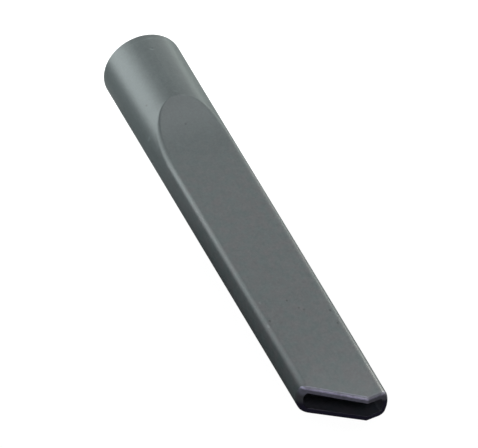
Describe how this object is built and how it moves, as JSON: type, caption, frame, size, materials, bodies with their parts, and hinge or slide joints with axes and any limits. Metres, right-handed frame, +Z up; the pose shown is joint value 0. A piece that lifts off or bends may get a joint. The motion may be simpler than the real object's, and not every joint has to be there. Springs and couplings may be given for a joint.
{
  "type": "vacuum crevice nozzle",
  "caption": "Flat suction nozzle in one piece: a round push-on socket that runs out through scooped shoulders into a long flat channel with a slanted open tip.",
  "frame": {"origin": "on the axis of the round socket, where its straight bore starts 1 mm inside the mouth", "axes": "+X runs from the socket towards the tip, +Z is up with the nozzle lying as it comes to rest, so the nozzle's own axis points 3.8 degrees below +X; the short side of the slanted tip is on -Y"},
  "size_m": [0.2181, 0.039, 0.0409],
  "materials": {
    "grey_plastic": "satin grey moulded polypropylene with a fine grain"
  },
  "bodies": {
    "root": {"nozzle": "grey_plastic"}
  },
  "joints": []
}
